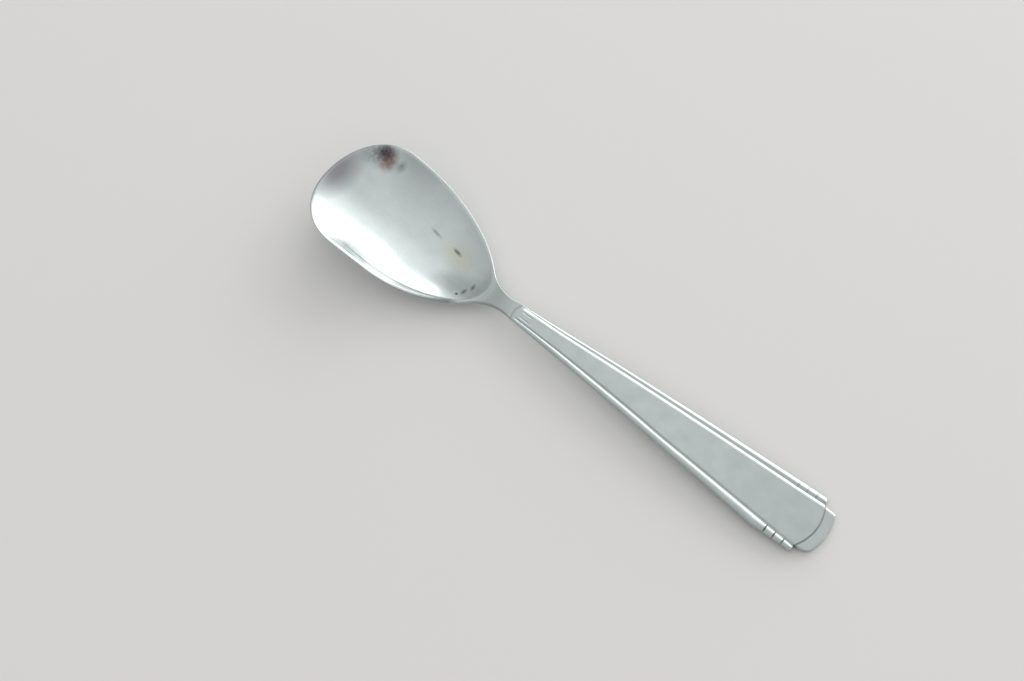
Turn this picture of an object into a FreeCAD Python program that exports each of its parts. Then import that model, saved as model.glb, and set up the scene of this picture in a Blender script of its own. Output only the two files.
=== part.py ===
import FreeCAD, Part
import math
import os

import Sketcher

# A jam spoon struck from one piece of metal. X runs from the front of the bowl to the end of
# the handle, Z is up, and the spoon lies as it does on a table: on the bottom of the bowl and
# on the end of the handle. All sizes are in millimetres.

SIZES = {
    "spoon_length": (145.0, "front of the bowl to the end of the handle"),
    "blank_height": (14.0, "height of the block that the spoon is cut from"),
    "bowl_width": (30.4, "widest place of the bowl, whose front is half a circle"),
    "bowl_side_radius": (118.0, "long gentle side of the bowl, seen from above"),
    "bowl_side": (11.0, "from the widest place to where the side turns in"),
    "pattern_start": (58.0, "start of the pattern on the handle"),
    "neck_radius": (12.0, "hollow curve from the bowl into the neck"),
    "neck_back": (0.34, "from the end of that curve to the start of the pattern"),
    "neck_width": (4.15, "handle width where its pattern starts"),
    "handle_width": (16.1, "handle width where its beads end"),
    "bead_back": (4.1, "from the rounded ends of the beads to the end of the handle"),
    "bead_end_radius": (0.9, "corner of the handle round the end of a bead"),
    "tip_rise": (1.15, "how far the curved end stands out past its corners"),
    "tip_left": (6.05, "from the middle to the sharper corner of the end"),
    "tip_right": (4.6, "from the middle to the worn corner of the end"),
    "worn_length": (10.0, "worn outer edge of the right bead, up to its end"),
    "worn_depth": (1.3, "how much of the bead's width is worn off at its end"),
    "crest_at": (13.0, "highest place of the rim"),
    "crest_height": (10.2, "height of the rim there"),
    "crest_radius": (33.0, "rim seen from the side, over the front of the bowl"),
    "dip_radius": (60.0, "rim seen from the side, down to the neck"),
    "arch_at": (79.0, "highest place of the handle"),
    "arch_height": (4.4, "height of the handle there"),
    "end_height": (1.72, "height of the top at the end of the handle"),
    "wall": (1.0, "wall of the bowl at its bottom"),
    "lip": (0.4, "flat top of the rim"),
    "lip_height": (0.6, "upright outer face of the rim"),
    "nose": (0.5, "outer face of the rim at the front of the bowl"),
    "keel_low": (36.0, "place of the bowl that touches the table"),
    "dish_end": (50.3, "where the hollow of the bowl runs out on the neck"),
    "neck_thickness": (1.9, "metal at the neck"),
    "handle_thickness": (1.7, "metal at the end of the handle"),
    "neck_edge": (1.3, "upright side of the neck"),
    "panel_step": (0.35, "depth of the groove beside the middle panel"),
    "panel_slope": (0.12, "lean of the side of the panel"),
    "groove_width": (0.35, "floor of the groove"),
    "bead_rise": (0.22, "rise of the half-round bead, as a share of its width"),
    "border_start": (0.6, "bead and groove together where the pattern starts"),
    "border_end": (2.25, "bead and groove together where they end"),
    "panel_shift": (0.45, "how far the panel has run to the left at its end"),
    "cut_back": (7.0, "from the first of the cuts across a bead to its end"),
    "cut_pitch": (2.25, "from one cut to the next"),
    "cut_width": (0.28, "width of a cut"),
    "cut_depth": (0.3, "depth of a cut"),
    "flute_start": (1.2, "from the start of the pattern to two short flutes"),
    "flute_length": (2.9, "length of a flute"),
    "flute_gap": (1.0, "from one flute to the other at their start"),
    "flute_spread": (0.25, "how far a flute draws away from the middle"),
    "flute_width": (0.3, "width of a flute"),
    "flute_depth": (0.16, "depth of a flute"),
    "line_back": (0.7, "from an arched line across the neck to the pattern"),
    "line_width": (0.3, "width of the arched line"),
    "line_depth": (0.14, "depth of the arched line"),
    "line_bow": (0.55, "how far the arched line bows towards the bowl"),
    "margin": (2.15, "lowered margin at the end of the panel"),
    "margin_depth": (0.15, "how far the margin lies below the panel"),
    "margin_bow": (2.2, "how far the step between panel and margin bows"),
}

doc = FreeCAD.newDocument("jam_spoon")
sheet = doc.addObject("Spreadsheet::Sheet", "sizes")
for row, (alias, (value, meaning)) in enumerate(SIZES.items(), start=1):
    sheet.set(f"A{row}", meaning)
    sheet.set(f"B{row}", str(value))
    sheet.setAlias(f"B{row}", alias)
doc.recompute()
size = {alias: float(sheet.get(alias)) for alias in SIZES}

body = doc.addObject("PartDesign::Body", "spoon")
body.Label = "spoon"
doc.recompute()


# Seen from above, one half of the outline is a quarter circle, two arcs that draw in
# towards the neck, one hollow arc and the straight edge of the handle.

def point_on(centre, radius, angle):
    return (centre[0] + radius * math.cos(angle), centre[1] + radius * math.sin(angle))


def arc_through(half_chord, rise):
    """Radius of the arc that rises by this much over this half chord."""
    return (half_chord ** 2 + rise ** 2) / (2 * rise)


front_radius = size["bowl_width"] / 2
front_centre = (front_radius, 0.0)
side_centre = (front_radius, front_radius - size["bowl_side_radius"])
side_turn = math.acos(size["bowl_side"] / size["bowl_side_radius"])
rear_joint = point_on(side_centre, size["bowl_side_radius"], side_turn)
bead_end = size["spoon_length"] - size["bead_back"]
neck_point = (size["pattern_start"], size["neck_width"] / 2)
edge_point = (bead_end, size["handle_width"] / 2)
taper = math.atan2(edge_point[1] - neck_point[1], edge_point[0] - neck_point[0])
edge_start = point_on(neck_point, size["neck_back"] / math.cos(taper), taper + math.pi)
neck_centre = point_on(edge_start, size["neck_radius"], taper + math.pi / 2)

# The arc of the rear quarter starts along the side and touches the neck's curve.
gap = (neck_centre[0] - rear_joint[0], neck_centre[1] - rear_joint[1])
outward = gap[0] * math.cos(side_turn) + gap[1] * math.sin(side_turn)
rear_radius = (gap[0] ** 2 + gap[1] ** 2 - size["neck_radius"] ** 2) / (2 * (size["neck_radius"] - outward))
rear_centre = point_on(rear_joint, rear_radius, side_turn + math.pi)
neck_turn = math.atan2(neck_centre[1] - rear_centre[1], neck_centre[0] - rear_centre[0])
neck_joint = point_on(rear_centre, rear_radius, neck_turn)


def half_width(x):
    """Half the width of the outline at x."""
    if x < front_radius:
        return math.sqrt(max(front_radius ** 2 - (front_radius - x) ** 2, 0.0))
    if x < rear_joint[0]:
        return side_centre[1] + math.sqrt(size["bowl_side_radius"] ** 2 - (x - side_centre[0]) ** 2)
    if x < neck_joint[0]:
        return rear_centre[1] + math.sqrt(rear_radius ** 2 - (x - rear_centre[0]) ** 2)
    if x < edge_start[0]:
        return neck_centre[1] - math.sqrt(size["neck_radius"] ** 2 - (x - neck_centre[0]) ** 2)
    return neck_point[1] + (x - neck_point[0]) * math.tan(taper)


# Seen from the side, the rim rises to a crest over the front of the bowl, dips to the neck
# and runs on into the long low arch of the handle.

arch_drop = size["arch_height"] - size["end_height"]
arch_run = size["spoon_length"] - size["arch_at"]
arch_radius = arc_through(arch_run, arch_drop)
crest_centre = (size["crest_at"], size["crest_height"] - size["crest_radius"])
arch_centre = (size["arch_at"], size["arch_height"] - arch_radius)
crest_reach = size["crest_radius"] + size["dip_radius"]
arch_reach = arch_radius + size["dip_radius"]
span = math.dist(crest_centre, arch_centre)
foot = (span ** 2 + crest_reach ** 2 - arch_reach ** 2) / (2 * span)
rise = math.sqrt(crest_reach ** 2 - foot ** 2)
unit = ((arch_centre[0] - crest_centre[0]) / span, (arch_centre[1] - crest_centre[1]) / span)
dip_centre = (crest_centre[0] + foot * unit[0] - rise * unit[1],
              crest_centre[1] + foot * unit[1] + rise * unit[0])
crest_turn = math.atan2(dip_centre[1] - crest_centre[1], dip_centre[0] - crest_centre[0])
arch_turn = math.atan2(dip_centre[1] - arch_centre[1], dip_centre[0] - arch_centre[0])
crest_joint = point_on(crest_centre, size["crest_radius"], crest_turn)
arch_joint = point_on(arch_centre, arch_radius, arch_turn)


def top(x):
    """Height of the rim, or of the top of the handle, at x."""
    if x < crest_joint[0]:
        return crest_centre[1] + math.sqrt(size["crest_radius"] ** 2 - (x - crest_centre[0]) ** 2)
    if x < arch_joint[0]:
        return dip_centre[1] - math.sqrt(size["dip_radius"] ** 2 - (x - dip_centre[0]) ** 2)
    return arch_centre[1] + math.sqrt(arch_radius ** 2 - (x - arch_centre[0]) ** 2)


keel_radius = arc_through(size["keel_low"], top(0) - size["nose"])


def keel(x):
    """Height of the underside along the middle."""
    if x < size["keel_low"]:
        return keel_radius - math.sqrt(keel_radius ** 2 - (size["keel_low"] - x) ** 2)
    if x < size["pattern_start"]:
        share = (x - size["keel_low"]) / (size["pattern_start"] - size["keel_low"])
        neck_under = top(size["pattern_start"]) - size["neck_thickness"]
        return neck_under * share ** 2 * (3 - 2 * share)
    share = (x - size["pattern_start"]) / (size["spoon_length"] - size["pattern_start"])
    return top(x) - size["neck_thickness"] - (size["handle_thickness"] - size["neck_thickness"]) * share


# Sketches that more than one feature needs.

def plane(role):
    return [entry for entry in body.Origin.OriginFeatures if entry.Role == role][0]


def new_sketch(role, name, offset=None):
    sketch = body.newObject("Sketcher::SketchObject", name)
    sketch.AttachmentSupport = (plane(role), [""])
    sketch.MapMode = "FlatFace"
    if offset is not None:
        sketch.AttachmentOffset = offset
    return sketch


def station(x):
    """Places a sketch across the spoon at x."""
    return FreeCAD.Placement(FreeCAD.Vector(0, 0, x), FreeCAD.Rotation())


def arc(centre, radius, start, end):
    circle = Part.Circle(FreeCAD.Vector(*centre, 0), FreeCAD.Vector(0, 0, 1), radius)
    return Part.ArcOfCircle(circle, start, end)


def line(start, end):
    return Part.LineSegment(FreeCAD.Vector(*start, 0), FreeCAD.Vector(*end, 0))


def bind(sketch, name, constraint, expression):
    """Adds a dimension and binds it to the sheet."""
    index = sketch.addConstraint(constraint)
    sketch.renameConstraint(index, name)
    sketch.setExpression(f"Constraints.{name}", expression)


def fix(sketch):
    """Holds drawn geometry in place."""
    for number in range(len(sketch.Geometry)):
        sketch.addConstraint(Sketcher.Constraint("Block", number))


def loft(name, sections):
    feature = body.newObject("PartDesign::SubtractiveLoft", name)
    feature.Profile = sections[0]
    feature.Sections = sections[1:]
    return feature


def cut_up(name, sketch):
    """Cuts everything above the sketch."""
    pocket = body.newObject("PartDesign::Pocket", name)
    pocket.Profile = sketch
    pocket.Reversed = True
    pocket.Type = "ThroughAll"


def outline_of(points):
    return [line(start, end) for start, end in zip(points, points[1:] + points[:1])]


ORIGIN = (-1, 1)


# Outline
# Half of the blank is padded from its outline, up to the ends of the beads, and mirrored over
# the middle of the spoon. The end of the panel, which has run a little to the left, is added.

outline = new_sketch("XY_Plane", "outline")
corner_turn = size["bead_end_radius"] * math.tan((math.pi / 2 + taper) / 2)
corner_centre = (bead_end - size["bead_end_radius"], edge_point[1] - corner_turn)
corner_start = point_on(corner_centre, size["bead_end_radius"], math.pi / 2 + taper)
outline.addGeometry([
    arc(front_centre, front_radius, math.pi / 2, math.pi),
    arc(side_centre, size["bowl_side_radius"], side_turn, math.pi / 2),
    arc(rear_centre, rear_radius, neck_turn, side_turn),
    arc(neck_centre, size["neck_radius"], neck_turn + math.pi, taper + 3 * math.pi / 2),
    line(edge_start, corner_start),
    arc(corner_centre, size["bead_end_radius"], 0, math.pi / 2 + taper),
    line((bead_end, corner_centre[1]), (bead_end, 0)),
    line((bead_end, 0), (0, 0)),
])
front, side, rear, neck, edge, corner, stop, middle = range(8)
for first, first_end, second, second_end in (
    (front, 1, side, 2), (side, 1, rear, 2), (rear, 1, neck, 1), (neck, 2, edge, 1), (edge, 2, corner, 2),
    (corner, 1, stop, 1),
):
    outline.addConstraint(Sketcher.Constraint("Tangent", first, first_end, second, second_end))
outline.addConstraint(Sketcher.Constraint("Coincident", stop, 2, middle, 1))
outline.addConstraint(Sketcher.Constraint("Coincident", middle, 2, front, 2))
outline.addConstraint(Sketcher.Constraint("Coincident", middle, 2, *ORIGIN))
outline.addConstraint(Sketcher.Constraint("Horizontal", middle))
outline.addConstraint(Sketcher.Constraint("PointOnObject", front, 3, -1))
outline.addConstraint(Sketcher.Constraint("Vertical", front, 3, front, 1))
outline.addConstraint(Sketcher.Constraint("Vertical", stop))
neck_mark = outline.addGeometry(Part.Point(FreeCAD.Vector(*neck_point, 0)), True)
edge_mark = outline.addGeometry(Part.Point(FreeCAD.Vector(*edge_point, 0)), True)
outline.addConstraint(Sketcher.Constraint("PointOnObject", neck_mark, 1, edge))
outline.addConstraint(Sketcher.Constraint("PointOnObject", edge_mark, 1, edge))
outline.addConstraint(Sketcher.Constraint("PointOnObject", edge_mark, 1, stop))
bind(outline, "front_radius", Sketcher.Constraint("Radius", front, front_radius), "sizes.bowl_width / 2")
bind(outline, "side_radius", Sketcher.Constraint("Radius", side, size["bowl_side_radius"]),
     "sizes.bowl_side_radius")
bind(outline, "neck_radius", Sketcher.Constraint("Radius", neck, size["neck_radius"]), "sizes.neck_radius")
bind(outline, "neck_end", Sketcher.Constraint("DistanceX", edge, 1, neck_mark, 1, size["neck_back"]),
     "sizes.neck_back")
bind(outline, "corner_radius", Sketcher.Constraint("Radius", corner, size["bead_end_radius"]),
     "sizes.bead_end_radius")
bind(outline, "rear_start", Sketcher.Constraint("DistanceX", side, 2, rear, 2, size["bowl_side"]),
     "sizes.bowl_side")
bind(outline, "neck_x", Sketcher.Constraint("DistanceX", *ORIGIN, neck_mark, 1, neck_point[0]),
     "sizes.pattern_start")
bind(outline, "neck_y", Sketcher.Constraint("DistanceY", *ORIGIN, neck_mark, 1, neck_point[1]),
     "sizes.neck_width / 2")
bind(outline, "edge_y", Sketcher.Constraint("DistanceY", *ORIGIN, edge_mark, 1, edge_point[1]),
     "sizes.handle_width / 2")
bind(outline, "length", Sketcher.Constraint("DistanceX", *ORIGIN, middle, 1, bead_end),
     "sizes.spoon_length - sizes.bead_back")

blank = body.newObject("PartDesign::Pad", "blank")
blank.Profile = outline
blank.setExpression("Length", "sizes.blank_height")
both_halves = body.newObject("PartDesign::Mirrored", "both_halves")
both_halves.Originals = [blank]
both_halves.MirrorPlane = (plane("XZ_Plane"), [""])
body.Tip = both_halves

panel_left = edge_point[1] - size["border_end"] + size["panel_shift"]
panel_right = edge_point[1] - size["border_end"] - size["panel_shift"]
tip_corner = size["spoon_length"] - size["tip_rise"]
tip_half = (size["tip_left"] + size["tip_right"]) / 2
tip_radius = arc_through(tip_half, size["tip_rise"])
tip_angle = math.asin(tip_half / tip_radius)
tip_centre = (size["spoon_length"] - tip_radius, (size["tip_left"] - size["tip_right"]) / 2)
end_outline = new_sketch("XY_Plane", "end_outline")
end_outline.addGeometry([
    line((bead_end - 1, panel_left), (bead_end, panel_left)),
    line((bead_end, panel_left), (tip_corner, size["tip_left"])),
    arc(tip_centre, tip_radius, -tip_angle, tip_angle),
    line((tip_corner, -size["tip_right"]), (bead_end, -panel_right)),
    line((bead_end, -panel_right), (bead_end - 1, -panel_right)),
    line((bead_end - 1, -panel_right), (bead_end - 1, panel_left)),
])
fix(end_outline)
panel_end = body.newObject("PartDesign::Pad", "panel_end")
panel_end.Profile = end_outline
panel_end.setExpression("Length", "sizes.blank_height")
doc.recompute()


# Side
# Everything above the rim and above the handle is cut away along one smooth line.

EXTRA = 4.0
side_view = new_sketch("XZ_Plane", "rim_and_handle_top")
crest_left = math.acos((-EXTRA - crest_centre[0]) / size["crest_radius"])
arch_right = math.acos((size["spoon_length"] + EXTRA - arch_centre[0]) / arch_radius)
left_top = point_on(crest_centre, size["crest_radius"], crest_left)
right_top = point_on(arch_centre, arch_radius, arch_right)
ceiling = size["blank_height"] + EXTRA
side_view.addGeometry([
    arc(crest_centre, size["crest_radius"], crest_turn, crest_left),
    arc(dip_centre, size["dip_radius"], crest_turn + math.pi, arch_turn + math.pi),
    arc(arch_centre, arch_radius, arch_right, arch_turn),
    line(right_top, (right_top[0], ceiling)),
    line((right_top[0], ceiling), (left_top[0], ceiling)),
    line((left_top[0], ceiling), left_top),
])
crest, dip, arch, right_side, over, left_side = range(6)
side_view.addConstraint(Sketcher.Constraint("Tangent", crest, 1, dip, 1))
side_view.addConstraint(Sketcher.Constraint("Tangent", dip, 2, arch, 2))
for first, first_end, second, second_end in (
    (arch, 1, right_side, 1), (right_side, 2, over, 1), (over, 2, left_side, 1), (left_side, 2, crest, 2),
):
    side_view.addConstraint(Sketcher.Constraint("Coincident", first, first_end, second, second_end))
side_view.addConstraint(Sketcher.Constraint("Vertical", right_side))
side_view.addConstraint(Sketcher.Constraint("Vertical", left_side))
side_view.addConstraint(Sketcher.Constraint("Horizontal", over))
bind(side_view, "crest_radius", Sketcher.Constraint("Radius", crest, size["crest_radius"]),
     "sizes.crest_radius")
bind(side_view, "dip_radius", Sketcher.Constraint("Radius", dip, size["dip_radius"]), "sizes.dip_radius")
bind(side_view, "arch_radius", Sketcher.Constraint("Radius", arch, arch_radius),
     "((sizes.spoon_length - sizes.arch_at)^2 + (sizes.arch_height - sizes.end_height)^2)"
     " / (2 * (sizes.arch_height - sizes.end_height))")
bind(side_view, "crest_x", Sketcher.Constraint("DistanceX", *ORIGIN, crest, 3, size["crest_at"]),
     "sizes.crest_at")
bind(side_view, "crest_z", Sketcher.Constraint("DistanceY", crest, 3, *ORIGIN, -crest_centre[1]),
     "sizes.crest_radius - sizes.crest_height")
bind(side_view, "arch_x", Sketcher.Constraint("DistanceX", *ORIGIN, arch, 3, size["arch_at"]),
     "sizes.arch_at")
bind(side_view, "arch_z", Sketcher.Constraint("DistanceY", arch, 3, *ORIGIN, -arch_centre[1]),
     "Constraints.arch_radius - sizes.arch_height * 1 mm")
side_view.addConstraint(Sketcher.Constraint("DistanceX", left_side, 1, *ORIGIN, EXTRA))
bind(side_view, "right_x", Sketcher.Constraint("DistanceX", *ORIGIN, right_side, 1, right_top[0]),
     f"sizes.spoon_length + {EXTRA}")
bind(side_view, "ceiling", Sketcher.Constraint("DistanceY", *ORIGIN, right_side, 2, ceiling),
     f"sizes.blank_height + {EXTRA}")

cut_top = body.newObject("PartDesign::Pocket", "cut_to_the_rim")
cut_top.Profile = side_view
cut_top.SideType = "Symmetric"
cut_top.Type = "ThroughAll"
doc.recompute()


# Underside and hollow
# Both are lofted through cross-sections, each a round trough as wide and as deep as the
# outline, the rim and the wall ask at its place. All troughs are alike but for their size.

ROUNDNESS = 0.9


def trough(name, x, floor, radius, breadth, level):
    """A closed section across the spoon: one round curve over the bottom, closed at a level."""
    sketch = new_sketch("YZ_Plane", name, station(x))
    height = math.sqrt(radius ** 2 - breadth ** 2)
    shoulder = floor + radius - height
    pull = 4 / 3 * (radius - height) * height / breadth
    low = floor - (radius - height) / 3
    poles = [(-breadth, shoulder), (pull - breadth, low), (breadth - pull, low), (breadth, shoulder)]
    sketch.addGeometry([
        Part.BSplineCurve([FreeCAD.Vector(*pole, 0) for pole in poles], None, None, False, 3, None, False),
        line((breadth, shoulder), (breadth, level)),
        line((breadth, level), (-breadth, level)),
        line((-breadth, level), (-breadth, shoulder)),
    ])
    fix(sketch)
    return sketch


def side_edge(x):
    """Height of the upright outer face, low round the bowl and higher along the neck."""
    share = min(max((x - rear_joint[0]) / (size["dish_end"] - rear_joint[0]), 0), 1)
    return size["lip_height"] + (size["neck_edge"] - size["lip_height"]) * share


def under_radius(x):
    """Radius of the underside across the spoon at x."""
    across = max(x, front_radius)
    return arc_through(half_width(across), top(across) - side_edge(across) - keel(across))


def hollow_floor(x):
    """Height of the floor of the hollow, which comes up to the top of the neck at its end."""
    share = max((x - size["keel_low"]) / (size["dish_end"] - size["keel_low"]), 0)
    spare = top(size["dish_end"]) - keel(size["dish_end"]) - size["wall"]
    return keel(x) + size["wall"] + spare * share ** 2


def hollow_radius(x):
    """Radius of the hollow across the spoon at x."""
    across = min(max(x, front_radius), neck_joint[0] - 2)
    return arc_through(half_width(across) - size["lip"], top(across) - hollow_floor(across))


bowl_places = (-EXTRA, 10, 22, 34, 42, 50, size["pattern_start"])
handle_places = (size["pattern_start"], 72, 95, 120, size["spoon_length"] + EXTRA)
hollow_places = (-EXTRA, 10, 22, 33, 41, 47, 53)
bowl_under = [
    trough(f"bowl_under_{x:.0f}", x, keel(x), under_radius(x), ROUNDNESS * under_radius(x), -EXTRA)
    for x in bowl_places
]
outside = ROUNDNESS * under_radius(size["pattern_start"]) - half_width(size["pattern_start"])
handle_under = [
    trough(f"handle_under_{x:.0f}", x, keel(x), under_radius(x), half_width(x) + outside, -EXTRA)
    for x in handle_places
]
open_level = max(hollow_floor(x) + hollow_radius(x) for x in hollow_places)
hollow = [
    trough(f"hollow_{x:.0f}", x, hollow_floor(x), hollow_radius(x), ROUNDNESS * hollow_radius(x), open_level)
    for x in hollow_places
]
loft("cut_under_the_bowl", bowl_under)
loft("cut_under_the_handle", handle_under)
loft("cut_the_hollow", hollow)


# Beads
# A groove runs along each side of the middle panel and leaves a half-round bead outside it.

LEFT = 1
RIGHT = -1


def border(x, hand):
    """Width of groove and bead together at x, on one side."""
    share = (x - size["pattern_start"]) / (bead_end - size["pattern_start"])
    even = size["border_start"] + (size["border_end"] - size["border_start"]) * share
    return even - hand * size["panel_shift"] * share


def border_section(name, x, hand):
    """The section cut away beside the panel at x."""
    sketch = new_sketch("YZ_Plane", name, station(x))
    level = top(x)
    groove = level - size["panel_step"]
    over = level + 1
    outer = half_width(x)
    panel = outer - border(x, hand)
    groove_start = panel + size["panel_slope"]
    bead_start = groove_start + size["groove_width"] * border(x, hand) / size["border_end"]
    bead_half = (outer - bead_start) / 2
    bead_rise = 2 * bead_half * size["bead_rise"]
    bead_radius = arc_through(bead_half, bead_rise)
    bead_middle = (hand * (bead_start + bead_half), groove + bead_rise - bead_radius)
    sweep = math.asin(bead_half / bead_radius)
    corners = [(outer + 1, groove), (outer + 1, over), (panel, over), (panel, level), (groove_start, groove),
               (bead_start, groove)]
    corners = [(outer, groove)] + corners
    for start, end in zip(corners, corners[1:]):
        sketch.addGeometry(line((hand * start[0], start[1]), (hand * end[0], end[1])))
    sketch.addGeometry(arc(bead_middle, bead_radius, math.pi / 2 - sweep, math.pi / 2 + sweep))
    fix(sketch)
    return sketch


border_places = (size["pattern_start"], 78, 98, 118, bead_end + 0.6)
for hand, name in ((LEFT, "left"), (RIGHT, "right")):
    loft(f"cut_the_{name}_border",
         [border_section(f"{name}_border_{x:.0f}", x, hand) for x in border_places])


# Wear
# The outer edge of the right bead is worn off along its last stretch.

worn = new_sketch("XY_Plane", "worn_edge")
worn_start = bead_end - size["worn_length"]
worn_end = (bead_end + 1, -half_width(bead_end) + size["worn_depth"])
worn.addGeometry(outline_of([
    (worn_start, -half_width(worn_start)), worn_end, (worn_end[0], -half_width(bead_end) - 1),
    (worn_start, -half_width(worn_start) - 1),
]))
fix(worn)
cut_up("cut_the_worn_edge", worn)


# Small marks
# Each is cut up to the open side from a sketch that lies this deep under the handle's top.

def mark_sketch(name, x, depth):
    """A sketch under the handle's top at x, parallel to it, with its origin at x."""
    lean = math.atan2(x - size["arch_at"], arch_radius)
    placement = FreeCAD.Placement(
        FreeCAD.Vector(x, 0, top(x) - depth), FreeCAD.Rotation(FreeCAD.Vector(0, 1, 0), math.degrees(lean)),
    )
    return new_sketch("XY_Plane", name, placement)


middle_cut = bead_end - size["cut_back"] + size["cut_pitch"]
cuts = mark_sketch("cuts", middle_cut, size["cut_depth"])
cut_out = half_width(middle_cut) + 1
for place in (-size["cut_pitch"], 0, size["cut_pitch"]):
    low = place - size["cut_width"] / 2
    high = place + size["cut_width"] / 2
    for hand in (LEFT, RIGHT):
        at = middle_cut + place
        cut_in = half_width(at) - border(at, hand) + size["panel_slope"] + size["groove_width"] / 2
        cuts.addGeometry(outline_of([
            (low, hand * cut_in), (high, hand * cut_in), (high, hand * cut_out), (low, hand * cut_out),
        ]))
fix(cuts)
cut_up("cut_across_the_beads", cuts)

flutes = mark_sketch("flutes", size["pattern_start"] + size["flute_start"], size["flute_depth"])
flute_turn = math.atan2(size["flute_spread"], size["flute_length"])
for hand in (LEFT, RIGHT):
    near = (0, hand * size["flute_gap"] / 2)
    far = (size["flute_length"], hand * (size["flute_gap"] / 2 + size["flute_spread"]))
    across = (-math.sin(hand * flute_turn) * size["flute_width"] / 2,
              math.cos(hand * flute_turn) * size["flute_width"] / 2)
    flutes.addGeometry(outline_of([
        (near[0] + across[0], near[1] + across[1]), (near[0] - across[0], near[1] - across[1]),
        (far[0] - across[0], far[1] - across[1]), (far[0] + across[0], far[1] + across[1]),
    ]))
fix(flutes)
cut_up("cut_the_flutes", flutes)

line_at = size["pattern_start"] - size["line_back"]
line_half = half_width(line_at) + 0.5
line_outer = arc_through(line_half, size["line_bow"])
line_inner = line_outer - size["line_width"]
line_sweep = math.asin(line_half / line_outer)
line_middle = (line_outer, 0)
neck_line = mark_sketch("neck_line", line_at, size["line_depth"])
neck_line.addGeometry([
    arc(line_middle, line_outer, math.pi - line_sweep, math.pi + line_sweep),
    arc(line_middle, line_inner, math.pi - line_sweep, math.pi + line_sweep),
    line(point_on(line_middle, line_outer, math.pi - line_sweep),
         point_on(line_middle, line_inner, math.pi - line_sweep)),
    line(point_on(line_middle, line_outer, math.pi + line_sweep),
         point_on(line_middle, line_inner, math.pi + line_sweep)),
])
fix(neck_line)
cut_up("cut_the_neck_line", neck_line)

margin_half = panel_left + 0.5
margin_radius = arc_through(margin_half, size["margin_bow"])
margin_sweep = math.asin(margin_half / margin_radius)
margin_middle = (-margin_radius, 0)
margin_start = point_on(margin_middle, margin_radius, -margin_sweep)
margin_end = point_on(margin_middle, margin_radius, margin_sweep)
margin_far = size["margin"] + 1
margin = mark_sketch("margin", size["spoon_length"] - size["margin"], size["margin_depth"])
margin.addGeometry([
    arc(margin_middle, margin_radius, -margin_sweep, margin_sweep),
    line(margin_end, (margin_far, margin_half)),
    line((margin_far, margin_half), (margin_far, -margin_half)),
    line((margin_far, -margin_half), margin_start),
])
fix(margin)
cut_up("cut_the_margin", margin)

# The spoon is placed with the middle of its length over the origin, lying on the table.
body.setExpression("Placement.Base.x", "-sizes.spoon_length / 2")
doc.recompute()
for item in doc.Objects:
    if "Invalid" in item.State or "Error" in item.State:
        raise ValueError(f"{item.Name} could not be built")

before = None
for feature in body.Group:
    if feature.isDerivedFrom("PartDesign::Feature"):
        volume = feature.Shape.Volume
        if before is not None and feature.Name not in ("both_halves", "panel_end") and not 0 < volume < before:
            raise ValueError(f"{feature.Name} took nothing away")
        before = volume

shape = body.Shape
if shape.isNull() or not shape.isValid() or len(shape.Solids) != 1:
    raise ValueError("the spoon is not one sound solid")
os.makedirs("parts", exist_ok=True)
shape.exportStep("parts/spoon.step")
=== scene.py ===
import math

import bmesh
import bpy
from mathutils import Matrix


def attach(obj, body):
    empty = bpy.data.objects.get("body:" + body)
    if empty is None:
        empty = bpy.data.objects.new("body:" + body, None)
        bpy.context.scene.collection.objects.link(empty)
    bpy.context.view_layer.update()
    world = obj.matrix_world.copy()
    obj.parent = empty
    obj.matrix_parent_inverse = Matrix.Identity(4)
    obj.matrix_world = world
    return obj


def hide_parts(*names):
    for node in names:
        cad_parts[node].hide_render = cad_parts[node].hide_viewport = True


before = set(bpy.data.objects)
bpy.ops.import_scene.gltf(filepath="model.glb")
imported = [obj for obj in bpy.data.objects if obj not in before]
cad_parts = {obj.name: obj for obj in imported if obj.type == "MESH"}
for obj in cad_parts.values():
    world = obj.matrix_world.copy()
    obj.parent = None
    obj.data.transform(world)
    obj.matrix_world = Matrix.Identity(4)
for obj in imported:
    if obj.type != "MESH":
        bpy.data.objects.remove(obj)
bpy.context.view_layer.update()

# Camera
# It looks down on the spoon from the front right, with the bowl to the left and the handle
# running away to the lower right of the picture.

camera_data = bpy.data.cameras.new("camera")
camera_data.lens = 45.78
camera_data.sensor_width = 36
camera_data.clip_start = 0.01
camera = bpy.data.objects.new("camera", camera_data)
camera.location = (0.08421, -0.0905, 0.27541)
camera.rotation_euler = [math.radians(angle) for angle in (24.574, 3.704, 39.871)]
bpy.context.scene.collection.objects.link(camera)
bpy.context.scene.camera = camera


# Spoon
# One piece of metal, struck from sheet: a deep oval bowl, a slim neck and a flat handle that
# widens to its end. The handle carries a raised panel between two grooves, with a half-round
# bead outside each groove. Its surface is satin, and worn by use.

# Lengths are in millimetres. x runs from the front of the bowl to the end of the handle, and
# y from the middle outwards, to the left or to the right hand.
MM = 0.001
LEFT = 1
RIGHT = -1
LENGTH = 145.0
FRONT = 15.2                # radius of the bowl's round front
SIDE_RADIUS = 118.0
SIDE_END = 26.2
REAR_RADIUS = 40.4
NECK_RADIUS = 12.0
NECK_HALF = 2.075
BEAD_HALF = 8.05
PATTERN_START = 58.0
BEAD_END = 140.9

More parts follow.
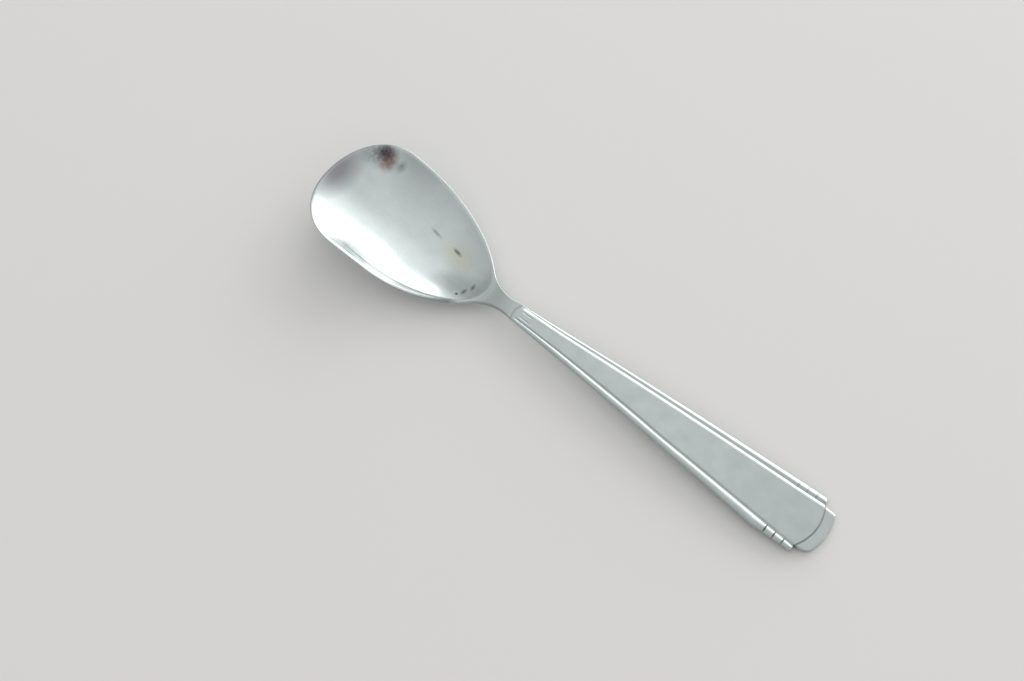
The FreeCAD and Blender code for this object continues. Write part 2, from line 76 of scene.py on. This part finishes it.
# The outline is a chain of arcs that run smoothly into each other and into the taper
taper = math.atan2(BEAD_HALF - NECK_HALF, BEAD_END - PATTERN_START)
side_y = FRONT - SIDE_RADIUS
side_turn = math.acos((SIDE_END - FRONT) / SIDE_RADIUS)
rear_x = FRONT + (SIDE_RADIUS - REAR_RADIUS) * math.cos(side_turn)
rear_y = side_y + (SIDE_RADIUS - REAR_RADIUS) * math.sin(side_turn)
neck_base_x = PATTERN_START - NECK_RADIUS * math.sin(taper) - rear_x
neck_base_y = NECK_HALF + NECK_RADIUS * math.cos(taper) - rear_y
neck_along = neck_base_x * math.cos(taper) + neck_base_y * math.sin(taper)
neck_run = math.sqrt(
    neck_along ** 2 - neck_base_x ** 2 - neck_base_y ** 2 + (REAR_RADIUS + NECK_RADIUS) ** 2
) - neck_along
neck_x = rear_x + neck_base_x + neck_run * math.cos(taper)
neck_y = rear_y + neck_base_y + neck_run * math.sin(taper)
rear_end = rear_x + REAR_RADIUS * (neck_x - rear_x) / (REAR_RADIUS + NECK_RADIUS)
neck_end = neck_x + NECK_RADIUS * math.sin(taper)


def half_width(x):
    """Half the width of the spoon, seen from above."""
    if x < FRONT:
        return math.sqrt(max(FRONT ** 2 - (FRONT - x) ** 2, 0))
    if x < SIDE_END:
        return side_y + math.sqrt(SIDE_RADIUS ** 2 - (x - FRONT) ** 2)
    if x < rear_end:
        return rear_y + math.sqrt(REAR_RADIUS ** 2 - (x - rear_x) ** 2)
    if x < neck_end:
        return neck_y - math.sqrt(NECK_RADIUS ** 2 - (x - neck_x) ** 2)
    return NECK_HALF + (x - PATTERN_START) * math.tan(taper)


def arc_radius(half_chord, rise):
    return (half_chord ** 2 + rise ** 2) / (2 * rise)


def ramp(value, start, end):
    """How far a value has come from start to end, held between 0 and 1."""
    return min(max((value - start) / (end - start), 0), 1)


def smooth(share):
    return share ** 2 * (3 - 2 * share)


def quarter_round(share):
    """How far a quarter circle has fallen, from 0 to 1, at a share of the way along it."""
    return 1 - math.sqrt(1 - share ** 2)


# Seen from the side, the rim and the handle are three arcs: a crest, a dip and an arch
CREST_X, CREST_TOP, CREST_RADIUS = 13.0, 10.2, 33.0
DIP_RADIUS = 60.0
ARCH_X, ARCH_TOP = 79.0, 4.4
END_TOP = 1.72
arch_radius = arc_radius(LENGTH - ARCH_X, ARCH_TOP - END_TOP)
crest_z = CREST_TOP - CREST_RADIUS
arch_z = ARCH_TOP - arch_radius
crest_reach = CREST_RADIUS + DIP_RADIUS
arch_reach = arch_radius + DIP_RADIUS
span = math.dist((CREST_X, crest_z), (ARCH_X, arch_z))
dip_along = (span ** 2 + crest_reach ** 2 - arch_reach ** 2) / (2 * span)
dip_off = math.sqrt(crest_reach ** 2 - dip_along ** 2)
dip_x = CREST_X + (dip_along * (ARCH_X - CREST_X) - dip_off * (arch_z - crest_z)) / span
dip_z = crest_z + (dip_along * (arch_z - crest_z) + dip_off * (ARCH_X - CREST_X)) / span
dip_start = CREST_X + CREST_RADIUS * (dip_x - CREST_X) / crest_reach
dip_end = ARCH_X + arch_radius * (dip_x - ARCH_X) / arch_reach


def top(x):
    """Height of the rim, or of the top of the handle."""
    if x < dip_start:
        return crest_z + math.sqrt(CREST_RADIUS ** 2 - (x - CREST_X) ** 2)
    if x < dip_end:
        return dip_z - math.sqrt(DIP_RADIUS ** 2 - (x - dip_x) ** 2)
    return arch_z + math.sqrt(arch_radius ** 2 - (x - ARCH_X) ** 2)


KEEL_LOW = 36.0             # where the underside touches the table
DISH_END = 50.3
FRONT_THICK = 0.5
RIM_THICK = 0.6
FLOOR_THICK = 1.0
HANDLE_THICK = 1.9
END_THICK = 1.7
LIP = 0.4                   # from the outline to the start of the hollow
keel_radius = arc_radius(KEEL_LOW, top(0) - FRONT_THICK)


def keel(x):
    """Height of the underside along the middle."""
    if x < KEEL_LOW:
        return keel_radius - math.sqrt(keel_radius ** 2 - (KEEL_LOW - x) ** 2)
    if x < PATTERN_START:
        return (top(PATTERN_START) - HANDLE_THICK) * smooth(ramp(x, KEEL_LOW, PATTERN_START))
    return top(x) - HANDLE_THICK + (HANDLE_THICK - END_THICK) * ramp(x, PATTERN_START, LENGTH)


def wall(share):
    """Rise of the bowl's wall, from 0 in the middle to 1 at the rim."""
    return share ** 2


def to_round_front(height, x, y, reach, gap):
    """Brings a height function to the rim of the round front, all along its arc."""
    raw = height(x, y)
    from_middle = math.hypot(FRONT - x, y)
    if x >= FRONT or from_middle < 0.001:
        return raw
    rim_x = FRONT - (FRONT - x) / from_middle * reach
    over = height(rim_x, y / from_middle * reach) - top(rim_x) + gap
    return raw - over * min(from_middle / reach, 1) ** 4


def dish(x, y):
    across = max(x, FRONT)
    rise = top(across) - RIM_THICK - 0.7 * ramp(x, SIDE_END, DISH_END) - keel(across)
    radius = arc_radius(half_width(across), rise)
    curved = radius - math.sqrt(radius ** 2 - min(y, 0.98 * radius) ** 2)
    as_bowl = ramp(x, 48, 34)
    return keel(x) + as_bowl * rise * wall(y / half_width(across)) + (1 - as_bowl) * curved


def underside(x, y):
    return to_round_front(dish, x, y, FRONT, RIM_THICK)


def bowl_floor(x):
    share = max((x - KEEL_LOW) / (DISH_END - KEEL_LOW), 0)
    return keel(x) + FLOOR_THICK + (top(DISH_END) - keel(DISH_END) - FLOOR_THICK) * share ** 2


def bowl_inside(x, y):
    across = min(max(x, FRONT), rear_end - 2)
    rise = top(across) - bowl_floor(across)
    return bowl_floor(x) + rise * wall(y / (half_width(across) - LIP))


def hollow(x, y):
    """Height of the inside of the bowl, which runs out on the neck."""
    return to_round_front(bowl_inside, x, y, FRONT - LIP, 0)


def border(x, hand):
    """Width of groove and bead together. The panel has run a little to the left."""
    share = (x - PATTERN_START) / (BEAD_END - PATTERN_START)
    return 0.6 + 1.65 * share - hand * 0.45 * share


def panel_edge(x, hand):
    """From the middle to the foot of the panel's rounded shoulder, which waves a little."""
    foot = half_width(x) - border(x, hand)
    before_end = ramp(x, BEAD_END, BEAD_END - 8)
    if hand == LEFT:
        return foot - 0.1 * before_end + 0.3 * ramp(x, 72, 62)
    wave = 0.3 * max(1 - ((x - 80) / 22) ** 2, 0)
    return foot - wave + 0.1 * ramp(x, 98, 106) * before_end


WORN_LENGTH = 10.0
WORN_STEP = 0.62            # how far the worn edge lies inside that of the bead before it
BEAD_CORNER = 0.9


def edge(x, hand):
    """From the middle to the outer edge. The right bead is worn narrower before its end."""
    reach = half_width(x)
    if hand == RIGHT:
        worn = half_width(BEAD_END) - half_width(BEAD_END - WORN_LENGTH) + WORN_STEP
        reach -= worn * ramp(x, BEAD_END - WORN_LENGTH, BEAD_END)
    return reach - BEAD_CORNER * quarter_round(ramp(x, BEAD_END - BEAD_CORNER, BEAD_END))


# Past the beads, the panel's sides run on to an end that bows out between uneven corners
TIP_HALF = {LEFT: 6.05, RIGHT: 4.6}
TIP_BOW = 1.15
TIP_CORNER = {LEFT: (0.12, 0.35), RIGHT: (0.4, 1.3)}    # share of the side, and how far in
tip_radius = arc_radius((TIP_HALF[LEFT] + TIP_HALF[RIGHT]) / 2, TIP_BOW)
tip_middle = (TIP_HALF[LEFT] - TIP_HALF[RIGHT]) / 2


def tip_edge(share, hand):
    """From the middle to the side of the panel, at a share of the way past the beads."""
    start = half_width(BEAD_END) - border(BEAD_END, hand)
    corner, cut = TIP_CORNER[hand]
    reach = start + (TIP_HALF[hand] - start) * share
    return reach - cut * quarter_round(ramp(share, 1 - corner, 1))


def tip_end(side):
    return LENGTH - tip_radius + math.sqrt(tip_radius ** 2 - (side - tip_middle) ** 2)


# Columns run along the spoon. On the handle they follow panel, groove and bead, and in the
# bowl they crowd together towards the rim.
PANEL_COLUMNS = 18
SHOULDER_COLUMNS = 9
BEAD_COLUMNS = 13
TIP_COLUMNS = PANEL_COLUMNS + SHOULDER_COLUMNS
SIDE_COLUMNS = TIP_COLUMNS + BEAD_COLUMNS
RIM_STEPS = [0, 0.01, 0.04, 0.09, 0.15, 0.22, 0.3, 0.4, 0.5, 0.65, 0.85]
RIM_STEPS += [1.05 + 0.15 * n for n in range(15)]
BOWL_PART_END = 44.0
SHOULDER_WIDTH = {LEFT: 0.75, RIGHT: 0.4}


def bowl_column(x, number):
    reach = half_width(x)
    from_edge = SIDE_COLUMNS - number
    narrow = min(reach / 4, 1)
    if from_edge < len(RIM_STEPS):
        return reach - narrow * RIM_STEPS[from_edge]
    inner = reach - narrow * RIM_STEPS[-1]
    return inner * number / (SIDE_COLUMNS - len(RIM_STEPS) + 1)


def handle_column(x, number, hand):
    reach = edge(x, hand)
    foot = panel_edge(x, hand)
    if number <= PANEL_COLUMNS:
        return (foot - SHOULDER_WIDTH[hand]) * number / PANEL_COLUMNS
    number -= PANEL_COLUMNS
    if number <= SHOULDER_COLUMNS:
        return foot - SHOULDER_WIDTH[hand] * (1 - number / SHOULDER_COLUMNS) ** 1.3
    number -= SHOULDER_COLUMNS
    turn = math.pi * number / BEAD_COLUMNS
    return foot + (reach - foot) * (1 - math.cos(turn)) / 2


def column(x, number, hand):
    """From the middle to a column."""
    if x >= PATTERN_START:
        return handle_column(x, number, hand)
    blend = smooth(ramp(x, BOWL_PART_END, PATTERN_START))
    scale = half_width(x) / edge(PATTERN_START, hand)
    as_handle = handle_column(PATTERN_START, number, hand) * scale
    return (1 - blend) * bowl_column(x, number) + blend * as_handle


# Small forms of the top side. A place on a curved form is the one in the middle.
HOLLOW_OUT = 56.0
RIDGE = 51.3
NECK_LINE = 59.0
BEGIN = (59.8, 61.1)        # shoulders, grooves and beads deepen between these
FLUTES = (61.1, 63.7)
MARGIN = LENGTH - 2.58
CUTS = (133.9, 136.15, 138.4)
CUT_HALF = 0.18
CUT_DEPTH = {LEFT: 0.12, RIGHT: 0.3}
CUT_LOWEST = {LEFT: 0.6, RIGHT: 0.22}
GROOVE_DEPTH = {LEFT: 0.3, RIGHT: 0.22}


def soft_lower(a, b, width):
    """The lower of two heights, with the crease between them rounded."""
    gap = max(width - abs(a - b), 0) / width
    return min(a, b) - gap * gap * width / 4


def mark(distance, half, depth):
    """Depth of a small round-bottomed mark at a distance from its middle."""
    return depth * max(1 - (distance / half) ** 2, 0)


def bead_rise(x, across, width, hand):
    """Height of a bead over its groove. The left one slopes far down to its outer edge."""
    if hand == RIGHT:
        return 0.76 * width * across * (1 - across)
    crest = 0.12 * ramp(x, 62, 128)
    if across < 0.3:
        return crest * (1 - (1 - across / 0.3) ** 2)
    return crest - 0.33 * width * ((across - 0.3) / 0.7) ** 1.5


def bowl_face(x, y, hand):
    """Height and painted shade of the bowl, with a ridge at its end and a line by the near
    rim.
    """
    height = soft_lower(top(x), hollow(x, y), 0.4 - 0.3 * ramp(x, 40, 48))
    ridge = mark(x - (RIDGE - 0.085 * (hand * y + 0.4) ** 2), 0.25, 0.02)
    height += ridge * ramp(y, 3.4, 2.6)
    if hand == LEFT:
        return height, 0
    fade = ramp(x, 14, 19) * ramp(x, 47, 45)
    beyond = y - (12.9 - 0.0092 * (x - 20) ** 2)
    height -= mark(beyond, 0.3, 0.02) * fade * ramp(x, 19, 28)
    # Painted shade: a dark reflection line by the near rim, fading out on the wall beyond it
    stain_and_shade = fade * ramp(x, 14, 28) * max(1 - abs(beyond) / 0.35, 0)
    if beyond > 0:
        stain_and_shade = max(stain_and_shade, fade * ramp(x, 26, 34) * max(1 - beyond / 4, 0))
    return height, stain_and_shade


def handle_relief(x, y, hand, number):
    """How far shoulder, groove and bead lie below the panel, and their painted shade."""
    begun = ramp(x, *BEGIN)
    groove = GROOVE_DEPTH[hand]
    foot = panel_edge(x, hand)
    if x > BEAD_END:
        foot = tip_edge(ramp(x, BEAD_END, LENGTH), hand)
    if number <= TIP_COLUMNS:
        inward = ramp(y, foot - SHOULDER_WIDTH[hand], foot)
        # Painted shade at the foot of the shoulder, on the groove floor
        return begun * groove * inward ** 1.5, begun * max(inward - 0.9, 0)
    gap = 0.05 + 0.25 * ramp(x, 70, 85)
    width = edge(x, hand) - foot - gap
    across = max(y - foot - gap, 0) / width
    drop = groove - bead_rise(x, across, width, hand)
    drop += 0.25 * quarter_round(ramp(x, BEAD_END - BEAD_CORNER, BEAD_END))
    # Painted shade along the groove beside the bead, and in the cuts
    stain_and_shade = 0.1 * (1 - min(6 * across, 1))
    for place in CUTS:
        cut = mark(x - place, CUT_HALF, CUT_DEPTH[hand])
        drop = min(drop + cut, max(drop, CUT_LOWEST[hand]))
        stain_and_shade = max(stain_and_shade, 3 * cut)
    return begun * drop, begun * stain_and_shade


def surface(x, y, hand, number):
    """Height of the top side, and how dark its painted shade is, from 0 to 1."""
    height, stain_and_shade = top(x), 0
    if x < HOLLOW_OUT:
        height, stain_and_shade = bowl_face(x, y, hand)
    elif x >= PATTERN_START and number > PANEL_COLUMNS:
        drop, stain_and_shade = handle_relief(x, y, hand, number)
        height -= drop
    side = hand * y
    line = mark(x - (NECK_LINE + 0.15 * side ** 2 + 0.08 * side), 0.3, 0.05)
    if FLUTES[0] < x < FLUTES[1]:
        height -= mark(y - 0.72, 0.17, 0.12)
    if x > LENGTH - 6 and number <= TIP_COLUMNS:
        beyond = x - (MARGIN - 0.048 * (side - 0.7) ** 2)
        height -= 0.12 * ramp(beyond, 0, 0.2)
        # Painted shade on the step of the margin near the end
        stain_and_shade = max(stain_and_shade, 1 - abs(beyond - 0.1) / 0.22)
    # The line across the neck is darkened with painted shade
    return height - line, max(stain_and_shade, 6 * line)


# Rows run across the spoon. Those of the nose bend from its round front to a straight line,
# and rows lie close together where a small form crosses the spoon.
NOSE_ROWS = [
    0, 0.01, 0.04, 0.09, 0.16, 0.25, 0.4, 0.55, 0.7, 0.85, 1.05, 1.3, 1.7, 2.2, 2.8, 3.5, 4.3,
    5.2, 6.2, 7.2, 8.2, 9.2, 10.2, 11.2, 12.2, 13.2, 14.2, 15.2,
]
NOSE_LINE = 16.2
CUT_ROWS = (-0.5, -0.26, -0.18, -0.12, -0.06, 0, 0.06, 0.12, 0.18, 0.26, 0.5, 0.8, 1.1, 1.4)
END_ROWS = 44
rows = []
for start, end, pitch in (
    (NOSE_LINE, 44, 0.8),
    (44, 50, 0.5),
    (50, 52, 0.1),
    (52, 58, 0.6),
    (58, 60.4, 0.1),
    (60.4, 64.2, 0.2),
    (64.2, 133, 1.2),
):
    count = round((end - start) / pitch)
    rows += [start + (end - start) * n / count for n in range(count)]
for place in CUTS:
    rows += [place + step for step in CUT_ROWS]
rows += [140.0, 140.25, 140.45, 140.6, 140.72, 140.8, 140.87, BEAD_END]
rows_to_tip = len(NOSE_ROWS) + len(rows)
row_count = rows_to_tip + END_ROWS


def vertex_place(row, number, hand):
    """Place on the plan of the vertex where a row and a column cross."""
    if row < len(NOSE_ROWS):
        y = column(NOSE_LINE, number, hand) * FRONT / half_width(NOSE_LINE)
        start = FRONT - math.sqrt(max(FRONT ** 2 - y ** 2, 0))
        return start + NOSE_ROWS[row] / NOSE_LINE * (NOSE_LINE - start), y
    if row < rows_to_tip:
        x = rows[row - len(NOSE_ROWS)]
        return x, column(x, number, hand)
    share = 1 - (1 - (row - rows_to_tip + 1) / END_ROWS) ** 1.3
    y = handle_column(BEAD_END, number, hand) / panel_edge(BEAD_END, hand)
    y *= tip_edge(share, hand)
    return BEAD_END + (tip_end(hand * y) - BEAD_END) * share, y


def edge_distance(x, y, hand):
    """How far a place on the plan lies inside the outline."""
    if x < FRONT:
        return FRONT - math.hypot(x - FRONT, y)
    if x <= BEAD_END:
        return edge(x, hand) - y
    return min(tip_end(hand * y) - x, tip_edge(ramp(x, BEAD_END, LENGTH), hand) - y)


# A grid with its margins past the beads cut away, extruded into two sides that then take
# their forms
metal = bmesh.new()
bmesh.ops.create_grid(metal, x_segments=row_count - 1, y_segments=2 * SIDE_COLUMNS, size=1)
row_layer = metal.verts.layers.int.new("row")
column_layer = metal.verts.layers.int.new("column")
# The groove attribute holds painted shade for grooves, cuts, steps and lines, from 0 to 1
painted_shade_layer = metal.verts.layers.float.new("groove")
top_layer = metal.verts.layers.float.new("top_side")
for vert in metal.verts:
    vert[row_layer] = round((vert.co.x + 1) / 2 * (row_count - 1))
    vert[column_layer] = round(vert.co.y * SIDE_COLUMNS)
past_beads = [
    face for face in metal.faces
    if min(vert[row_layer] for vert in face.verts) >= rows_to_tip - 1
    and max(abs(vert[column_layer]) for vert in face.verts) > TIP_COLUMNS
]
bmesh.ops.delete(metal, geom=past_beads, context="FACES")
raised = bmesh.ops.extrude_face_region(metal, geom=metal.faces[:], use_keep_orig=True)
upper = {item for item in raised["geom"] if isinstance(item, bmesh.types.BMVert)}

EDGE_ROUND = 0.2            # radius of the edge all around, twice as large beside the neck
TOP_EDGE_LESS = 0.15        # and that much less on top of the handle
for vert in metal.verts:
    is_top = vert in upper
    number = abs(vert[column_layer])
    hand = LEFT if vert[column_layer] >= 0 else RIGHT
    x, y = vertex_place(vert[row_layer], number, hand)
    on_handle = ramp(x, 56, 61)
    round_edge = EDGE_ROUND * (1 + ramp(x, 44, 48) - on_handle)
    if is_top and x <= BEAD_END:
        round_edge -= TOP_EDGE_LESS * on_handle
    thick = top(x) - underside(x, edge(x, hand) if x <= BEAD_END else y)
    round_edge = min(round_edge, 0.3 * thick)
    softened = round_edge * quarter_round(ramp(edge_distance(x, y, hand), round_edge, 0))
    if is_top:
        height, stain_and_shade = surface(x, y, hand, number)
        height -= softened
        vert[painted_shade_layer] = stain_and_shade
        vert[top_layer] = 1
    else:
        height = underside(x, y) + softened
    vert.co = ((x - LENGTH / 2) * MM, hand * y * MM, height * MM)

bmesh.ops.remove_doubles(metal, verts=metal.verts, dist=0.000001)
bmesh.ops.dissolve_degenerate(metal, edges=metal.edges, dist=0.000001)
bmesh.ops.recalc_face_normals(metal, faces=metal.faces)
for face in metal.faces:
    face.smooth = True
spoon_mesh = bpy.data.meshes.new("spoon_metal")
metal.to_mesh(spoon_mesh)
metal.free()
spoon_mesh.set_sharp_from_angle(angle=math.radians(50))
spoon = bpy.data.objects.new("spoon_metal", spoon_mesh)
bpy.context.scene.collection.objects.link(spoon)

finish = bpy.data.materials.new("satin_metal")
finish.use_nodes = True
nodes = finish.node_tree.nodes
links = finish.node_tree.links
shader = nodes["Principled BSDF"]
shader.inputs["Metallic"].default_value = 1
coordinates = nodes.new("ShaderNodeTexCoord")
parts = nodes.new("ShaderNodeSeparateXYZ")
links.new(coordinates.outputs["Object"], parts.inputs["Vector"])
# Reads the painted shade and painted dark reflection kept in the groove attribute
groove = nodes.new("ShaderNodeAttribute")
groove.attribute_name = "groove"
top_side = nodes.new("ShaderNodeAttribute")
top_side.attribute_name = "top_side"


def noise(scale, detail, stretch=(1, 1, 1)):
    stretched = nodes.new("ShaderNodeMapping")
    stretched.inputs["Scale"].default_value = stretch
    texture = nodes.new("ShaderNodeTexNoise")
    texture.inputs["Scale"].default_value = scale
    texture.inputs["Detail"].default_value = detail
    links.new(coordinates.outputs["Object"], stretched.inputs["Vector"])
    links.new(stretched.outputs["Vector"], texture.inputs["Vector"])
    return texture.outputs["Fac"]


def ranged(value, low, high, new_low, new_high):
    """A value brought from the range low to high to a new range, and held within it."""
    shift = nodes.new("ShaderNodeMapRange")
    shift.inputs["From Min"].default_value = low
    shift.inputs["From Max"].default_value = high
    shift.inputs["To Min"].default_value = new_low
    shift.inputs["To Max"].default_value = new_high
    links.new(value, shift.inputs["Value"])
    return shift.outputs["Result"]


def along(start, end, new_low, new_high):
    """A value that changes evenly from one place along the spoon to another."""
    low, high = (start - LENGTH / 2) * MM, (end - LENGTH / 2) * MM
    return ranged(parts.outputs["X"], low, high, new_low, new_high)


def mixed(share, colour_a, colour_b):
    """Mixes two colours, each a tuple or another node's output."""
    mix = nodes.new("ShaderNodeMix")
    mix.data_type = "RGBA"
    links.new(share, mix.inputs["Factor"])
    for socket, shade in ((mix.inputs[6], colour_a), (mix.inputs[7], colour_b)):
        if isinstance(shade, tuple):
            socket.default_value = shade
        else:
            links.new(shade, socket)
    return mix.outputs[2]


def product(value_a, value_b):
    times = nodes.new("ShaderNodeMath")
    times.operation = "MULTIPLY"
    links.new(value_a, times.inputs[0])
    links.new(value_b, times.inputs[1])
    return times.outputs["Value"]


def patch(x, y, length, width, turn, strength):
    """A soft oval on the plan, full in its middle and 0 at its edge."""
    oval = nodes.new("ShaderNodeMapping")
    oval.vector_type = "TEXTURE"
    oval.inputs["Location"].default_value = ((x - LENGTH / 2) * MM, y * MM, 0)
    oval.inputs["Rotation"].default_value = (0, 0, math.radians(turn))
    oval.inputs["Scale"].default_value = (length / 2 * MM, width / 2 * MM, 1)
    fall = nodes.new("ShaderNodeTexGradient")
    fall.gradient_type = "SPHERICAL"
    links.new(coordinates.outputs["Object"], oval.inputs["Vector"])
    links.new(oval.outputs["Vector"], fall.inputs["Vector"])
    return ranged(fall.outputs["Fac"], 0, 0.8, 0, strength)


# Bare metal has a faint cloudy tone and is duller on the neck. Painted shade darkens the
# grooves, cuts and small lines, and a painted dark reflection lies inside the near rim.
mottle = ranged(noise(260, 5), 0.3, 0.7, 0, 1)
handle_metal = mixed(mottle, (0.50, 0.56, 0.545, 1), (0.555, 0.62, 0.605, 1))
bowl_metal = mixed(mottle, (0.655, 0.725, 0.715, 1), (0.70, 0.765, 0.755, 1))
handle_share = along(44.5, 54.5, 0, 1)
colour = mixed(handle_share, bowl_metal, handle_metal)
neck = product(along(47.5, 52.5, 0, 0.65), along(53.5, 60.5, 1, 0))
colour = mixed(neck, colour, (0.29, 0.33, 0.32, 1))
# Painted shade: the metal is darkened where the groove attribute says
painted_shade = ranged(groove.outputs["Fac"], 0, 1, 0, 0.9)
colour = mixed(painted_shade, colour, (0.16, 0.17, 0.17, 1))

# Marks lie on the top side only. The first is a painted reflection, and the rest are
# speckled.
# A painted lilac-grey reflection inside the front of the bowl
painted_reflection = product(patch(2.0, 1.4, 25.0, 10.5, 88, 0.9), top_side.outputs["Fac"])
colour = mixed(painted_reflection, colour, (0.33, 0.325, 0.35, 1))
speckle = product(ranged(noise(1300, 3), 0.35, 0.62, 0.65, 1), top_side.outputs["Fac"])
for spot, stain_and_shade in (
    # A burnt blotch by the far rim, and a smudge beside it
    (patch(7.6, 10.6, 11.5, 7.0, 25, 0.9), (0.24, 0.24, 0.26, 1)),
    (patch(10.2, 11.0, 6.0, 6.5, 0, 1.1), (0.28, 0.19, 0.17, 1)),
    (patch(8.8, 11.8, 5.2, 4.0, 20, 1.3), (0.10, 0.09, 0.105, 1)),
    (patch(13.9, 11.4, 3.6, 2.6, 60, 0.9), (0.30, 0.36, 0.35, 1)),
    # Two streaks, one in a yellowed patch
    (patch(38.2, 3.3, 12.0, 7.5, -12, 0.8), (0.66, 0.66, 0.53, 1)),
    (patch(30.2, 5.0, 4.6, 1.1, -9, 0.75), (0.22, 0.24, 0.23, 1)),
    (patch(37.5, 4.2, 3.9, 1.2, -13, 0.95), (0.16, 0.17, 0.15, 1)),
    # Specks at the end of the hollow
    (patch(45.1, -4.8, 1.0, 0.8, 0, 1.4), (0.06, 0.07, 0.06, 1)),
    (patch(46.1, -3.3, 1.5, 2.6, 0, 1.0), (0.24, 0.27, 0.26, 1)),
    (patch(47.1, -1.2, 1.3, 2.6, 12, 1.0), (0.20, 0.23, 0.22, 1)),
    # Painted shadow in the notch by the end of the right bead
    (patch(141.2, -5.5, 1.4, 1.1, 0, 1.3), (0.03, 0.03, 0.03, 1)),
):
    colour = mixed(product(spot, speckle), colour, stain_and_shade)
links.new(colour, shader.inputs["Base Color"])

# The bowl is smoother than the handle
gloss = nodes.new("ShaderNodeMath")
gloss.operation = "ADD"
links.new(ranged(handle_share, 0, 1, 0.24, 0.33), gloss.inputs[0])
links.new(ranged(noise(900, 4, (0.25, 1, 1)), 0.3, 0.7, -0.03, 0.05), gloss.inputs[1])
links.new(gloss.outputs["Value"], shader.inputs["Roughness"])

# Fine scratches swirl around the middle of the bowl, and a faint grain runs along the handle
from_centre = nodes.new("ShaderNodeMapping")
from_centre.inputs["Location"].default_value = (0.052, 0.002, 0)
centred = nodes.new("ShaderNodeSeparateXYZ")
radius = nodes.new("ShaderNodeVectorMath")
radius.operation = "LENGTH"
turn = nodes.new("ShaderNodeMath")
turn.operation = "ARCTAN2"
swirl = nodes.new("ShaderNodeCombineXYZ")
arcs = nodes.new("ShaderNodeTexNoise")
arcs.inputs["Scale"].default_value = 1
arcs.inputs["Detail"].default_value = 3
links.new(coordinates.outputs["Object"], from_centre.inputs["Vector"])
links.new(from_centre.outputs["Vector"], centred.inputs["Vector"])
links.new(from_centre.outputs["Vector"], radius.inputs[0])
links.new(centred.outputs["Y"], turn.inputs[0])
links.new(centred.outputs["X"], turn.inputs[1])
links.new(ranged(radius.outputs["Value"], 0, 0.01, 0, 45), swirl.inputs["X"])
links.new(ranged(turn.outputs["Value"], 0, 1, 0, 5), swirl.inputs["Y"])
links.new(swirl.outputs["Vector"], arcs.inputs["Vector"])
scratches = nodes.new("ShaderNodeBump")
scratches.inputs["Strength"].default_value = 0.2
scratches.inputs["Distance"].default_value = 0.0001
in_bowl = along(38.5, 46.5, 1, 0)
links.new(product(arcs.outputs["Fac"], in_bowl), scratches.inputs["Height"])
grain = nodes.new("ShaderNodeBump")
grain.inputs["Strength"].default_value = 0.07
grain.inputs["Distance"].default_value = 0.0001
links.new(noise(1800, 3, (0.2, 1, 1)), grain.inputs["Height"])
links.new(scratches.outputs["Normal"], grain.inputs["Normal"])
links.new(grain.outputs["Normal"], shader.inputs["Normal"])
spoon_mesh.materials.append(finish)
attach(spoon, "root")
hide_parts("spoon")


# Table and light
# The spoon lies on a plain pale table. One large soft light stands low on its far side, in a
# room that is brighter towards that light.

table = bmesh.new()
bmesh.ops.create_grid(table, x_segments=1, y_segments=1, size=2)
table_mesh = bpy.data.meshes.new("table_top")
table.to_mesh(table_mesh)
table.free()
table_top = bpy.data.objects.new("table_top", table_mesh)
bpy.context.scene.collection.objects.link(table_top)
table_paint = bpy.data.materials.new("pale_table")
table_paint.use_nodes = True
table_shader = table_paint.node_tree.nodes["Principled BSDF"]
table_shader.inputs["Base Color"].default_value = (0.85, 0.84, 0.83, 1)
table_shader.inputs["Roughness"].default_value = 0.9
table_mesh.materials.append(table_paint)

window_light = bpy.data.lights.new("window", "AREA")
window_light.shape = "RECTANGLE"
window_light.size = 1.45
window_light.size_y = 0.54
window_light.energy = 4.7
window = bpy.data.objects.new("window", window_light)
window.location = (-0.03, 0.95, 0.29)
window.rotation_euler = (-window.location).to_track_quat("-Z", "Y").to_euler()
bpy.context.scene.collection.objects.link(window)

world = bpy.data.worlds.new("room")
world.use_nodes = True
room = world.node_tree
direction = room.nodes.new("ShaderNodeTexCoord")


def toward(aim, low, high, new_low, new_high):
    """A value that follows how far a direction in the room turns to an aim."""
    turned = room.nodes.new("ShaderNodeVectorMath")
    turned.operation = "DOT_PRODUCT"
    turned.inputs[1].default_value = aim
    shift = room.nodes.new("ShaderNodeMapRange")
    shift.inputs["From Min"].default_value = low
    shift.inputs["From Max"].default_value = high
    shift.inputs["To Min"].default_value = new_low
    shift.inputs["To Max"].default_value = new_high
    room.links.new(direction.outputs["Generated"], turned.inputs[0])
    room.links.new(turned.outputs["Value"], shift.inputs["Value"])
    return shift.outputs["Result"]


# Bright overhead and towards the window, and dim beyond the bowl, on the near side and past
# the handle, in that order
tone = toward((0.15, 0.14, 0.42), -0.4, 0.5, 0.02, 0.92)
for operation, change in (
    ("ADD", toward((0.1, 1, 0), 0.15, 0.75, 0, 0.42)),
    ("MULTIPLY", toward((-0.682, 0.533, 0.50), 0.93, 0.99, 1, 0.55)),
    ("MULTIPLY", toward((0.40, -0.27, 0.88), 0.93, 0.99, 1, 0.60)),
    ("MULTIPLY", toward((0.50, 0.30, 0.81), 0.81, 1.00, 1, 0.50)),
):
    joined = room.nodes.new("ShaderNodeMath")
    joined.operation = operation
    room.links.new(tone, joined.inputs[0])
    room.links.new(change, joined.inputs[1])
    tone = joined.outputs["Value"]
room.links.new(tone, room.nodes["Background"].inputs["Color"])
bpy.context.scene.world = world
bpy.context.scene.view_settings.view_transform = "Standard"
